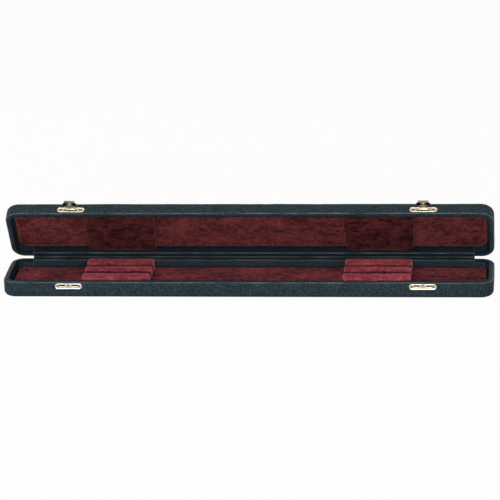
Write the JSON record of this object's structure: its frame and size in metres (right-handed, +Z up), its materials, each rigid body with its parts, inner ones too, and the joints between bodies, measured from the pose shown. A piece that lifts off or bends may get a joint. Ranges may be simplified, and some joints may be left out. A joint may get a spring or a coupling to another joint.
{
  "type": "conductor's baton case",
  "caption": "Long flat leatherette case for batons with a hinged lid, velvet lining, grooved holders, lid pads and brass hasp latches, shown open.",
  "frame": {"origin": "middle of the flat underside of the base", "axes": "+X along the case to the right, +Y from the latches to the hinge, +Z up"},
  "size_m": [0.4576, 0.0754, 0.0843],
  "materials": {
    "leatherette": "dark blue-green leatherette with a fine pebble grain, satin",
    "fibreboard": "thin fibreboard, hidden",
    "wood": "plain softwood, hidden",
    "card": "grey-brown card, hidden",
    "foam": "firm foam, hidden",
    "holder_velvet": "rose-red velvet, short pile",
    "pad_velvet": "dark burgundy velvet, deep pile",
    "lining_velvet": "burgundy velvet, short pile",
    "brass": "pale stamped brass, lightly worn"
  },
  "bodies": {
    "base": {"base_back_rail": "wood", "base_board": "fibreboard", "base_face_cover": "leatherette", "base_floor_card": "card", "base_front_rail": "wood", "base_left_end": "wood", "base_right_end": "wood", "base_side_cover": "leatherette", "base_velvet_floor": "lining_velvet", "baton_holder_core_left": "foam", "baton_holder_core_right": "foam", "baton_holder_velvet_left": "holder_velvet", "baton_holder_velvet_right": "holder_velvet", "hinge_strip_base_leaf": "leatherette", "hinge_strip_fold": "leatherette", "keeper_nails": "brass", "keeper_plate_left": "brass", "keeper_plate_right": "brass"},
    "lid": {"hinge_strip_lid_leaf": "leatherette", "latch_nails": "brass", "latch_pins": "brass", "latch_plate_left": "brass", "latch_plate_right": "brass", "lid_back_rail": "wood", "lid_board": "fibreboard", "lid_face_cover": "leatherette", "lid_front_rail": "wood", "lid_left_end": "wood", "lid_lining_card": "card", "lid_pad_left": "pad_velvet", "lid_pad_right": "pad_velvet", "lid_right_end": "wood", "lid_side_cover": "leatherette", "lid_velvet_lining": "lining_velvet"},
    "hasp_left": {"latch_hasp_left": "brass"},
    "hasp_right": {"latch_hasp_right": "brass"}
  },
  "joints": [
    {"name": "lid_hinge", "type": "hinge", "parent": "base", "child": "lid", "pos_m": [0, 0.03085, 0.016], "axis": [-1, 0, 0], "range_deg": [-63.3, 116.7]},
    {"name": "hasp_left_swing", "type": "hinge", "parent": "lid", "child": "hasp_left", "pos_m": [-0.1658, 0.00621, 0.07412], "axis": [-1, 0, 0], "range_deg": [-84, 76]},
    {"name": "hasp_right_swing", "type": "hinge", "parent": "lid", "child": "hasp_right", "pos_m": [0.1639, 0.00621, 0.07412], "axis": [-1, 0, 0], "range_deg": [-84, 76]}
  ]
}
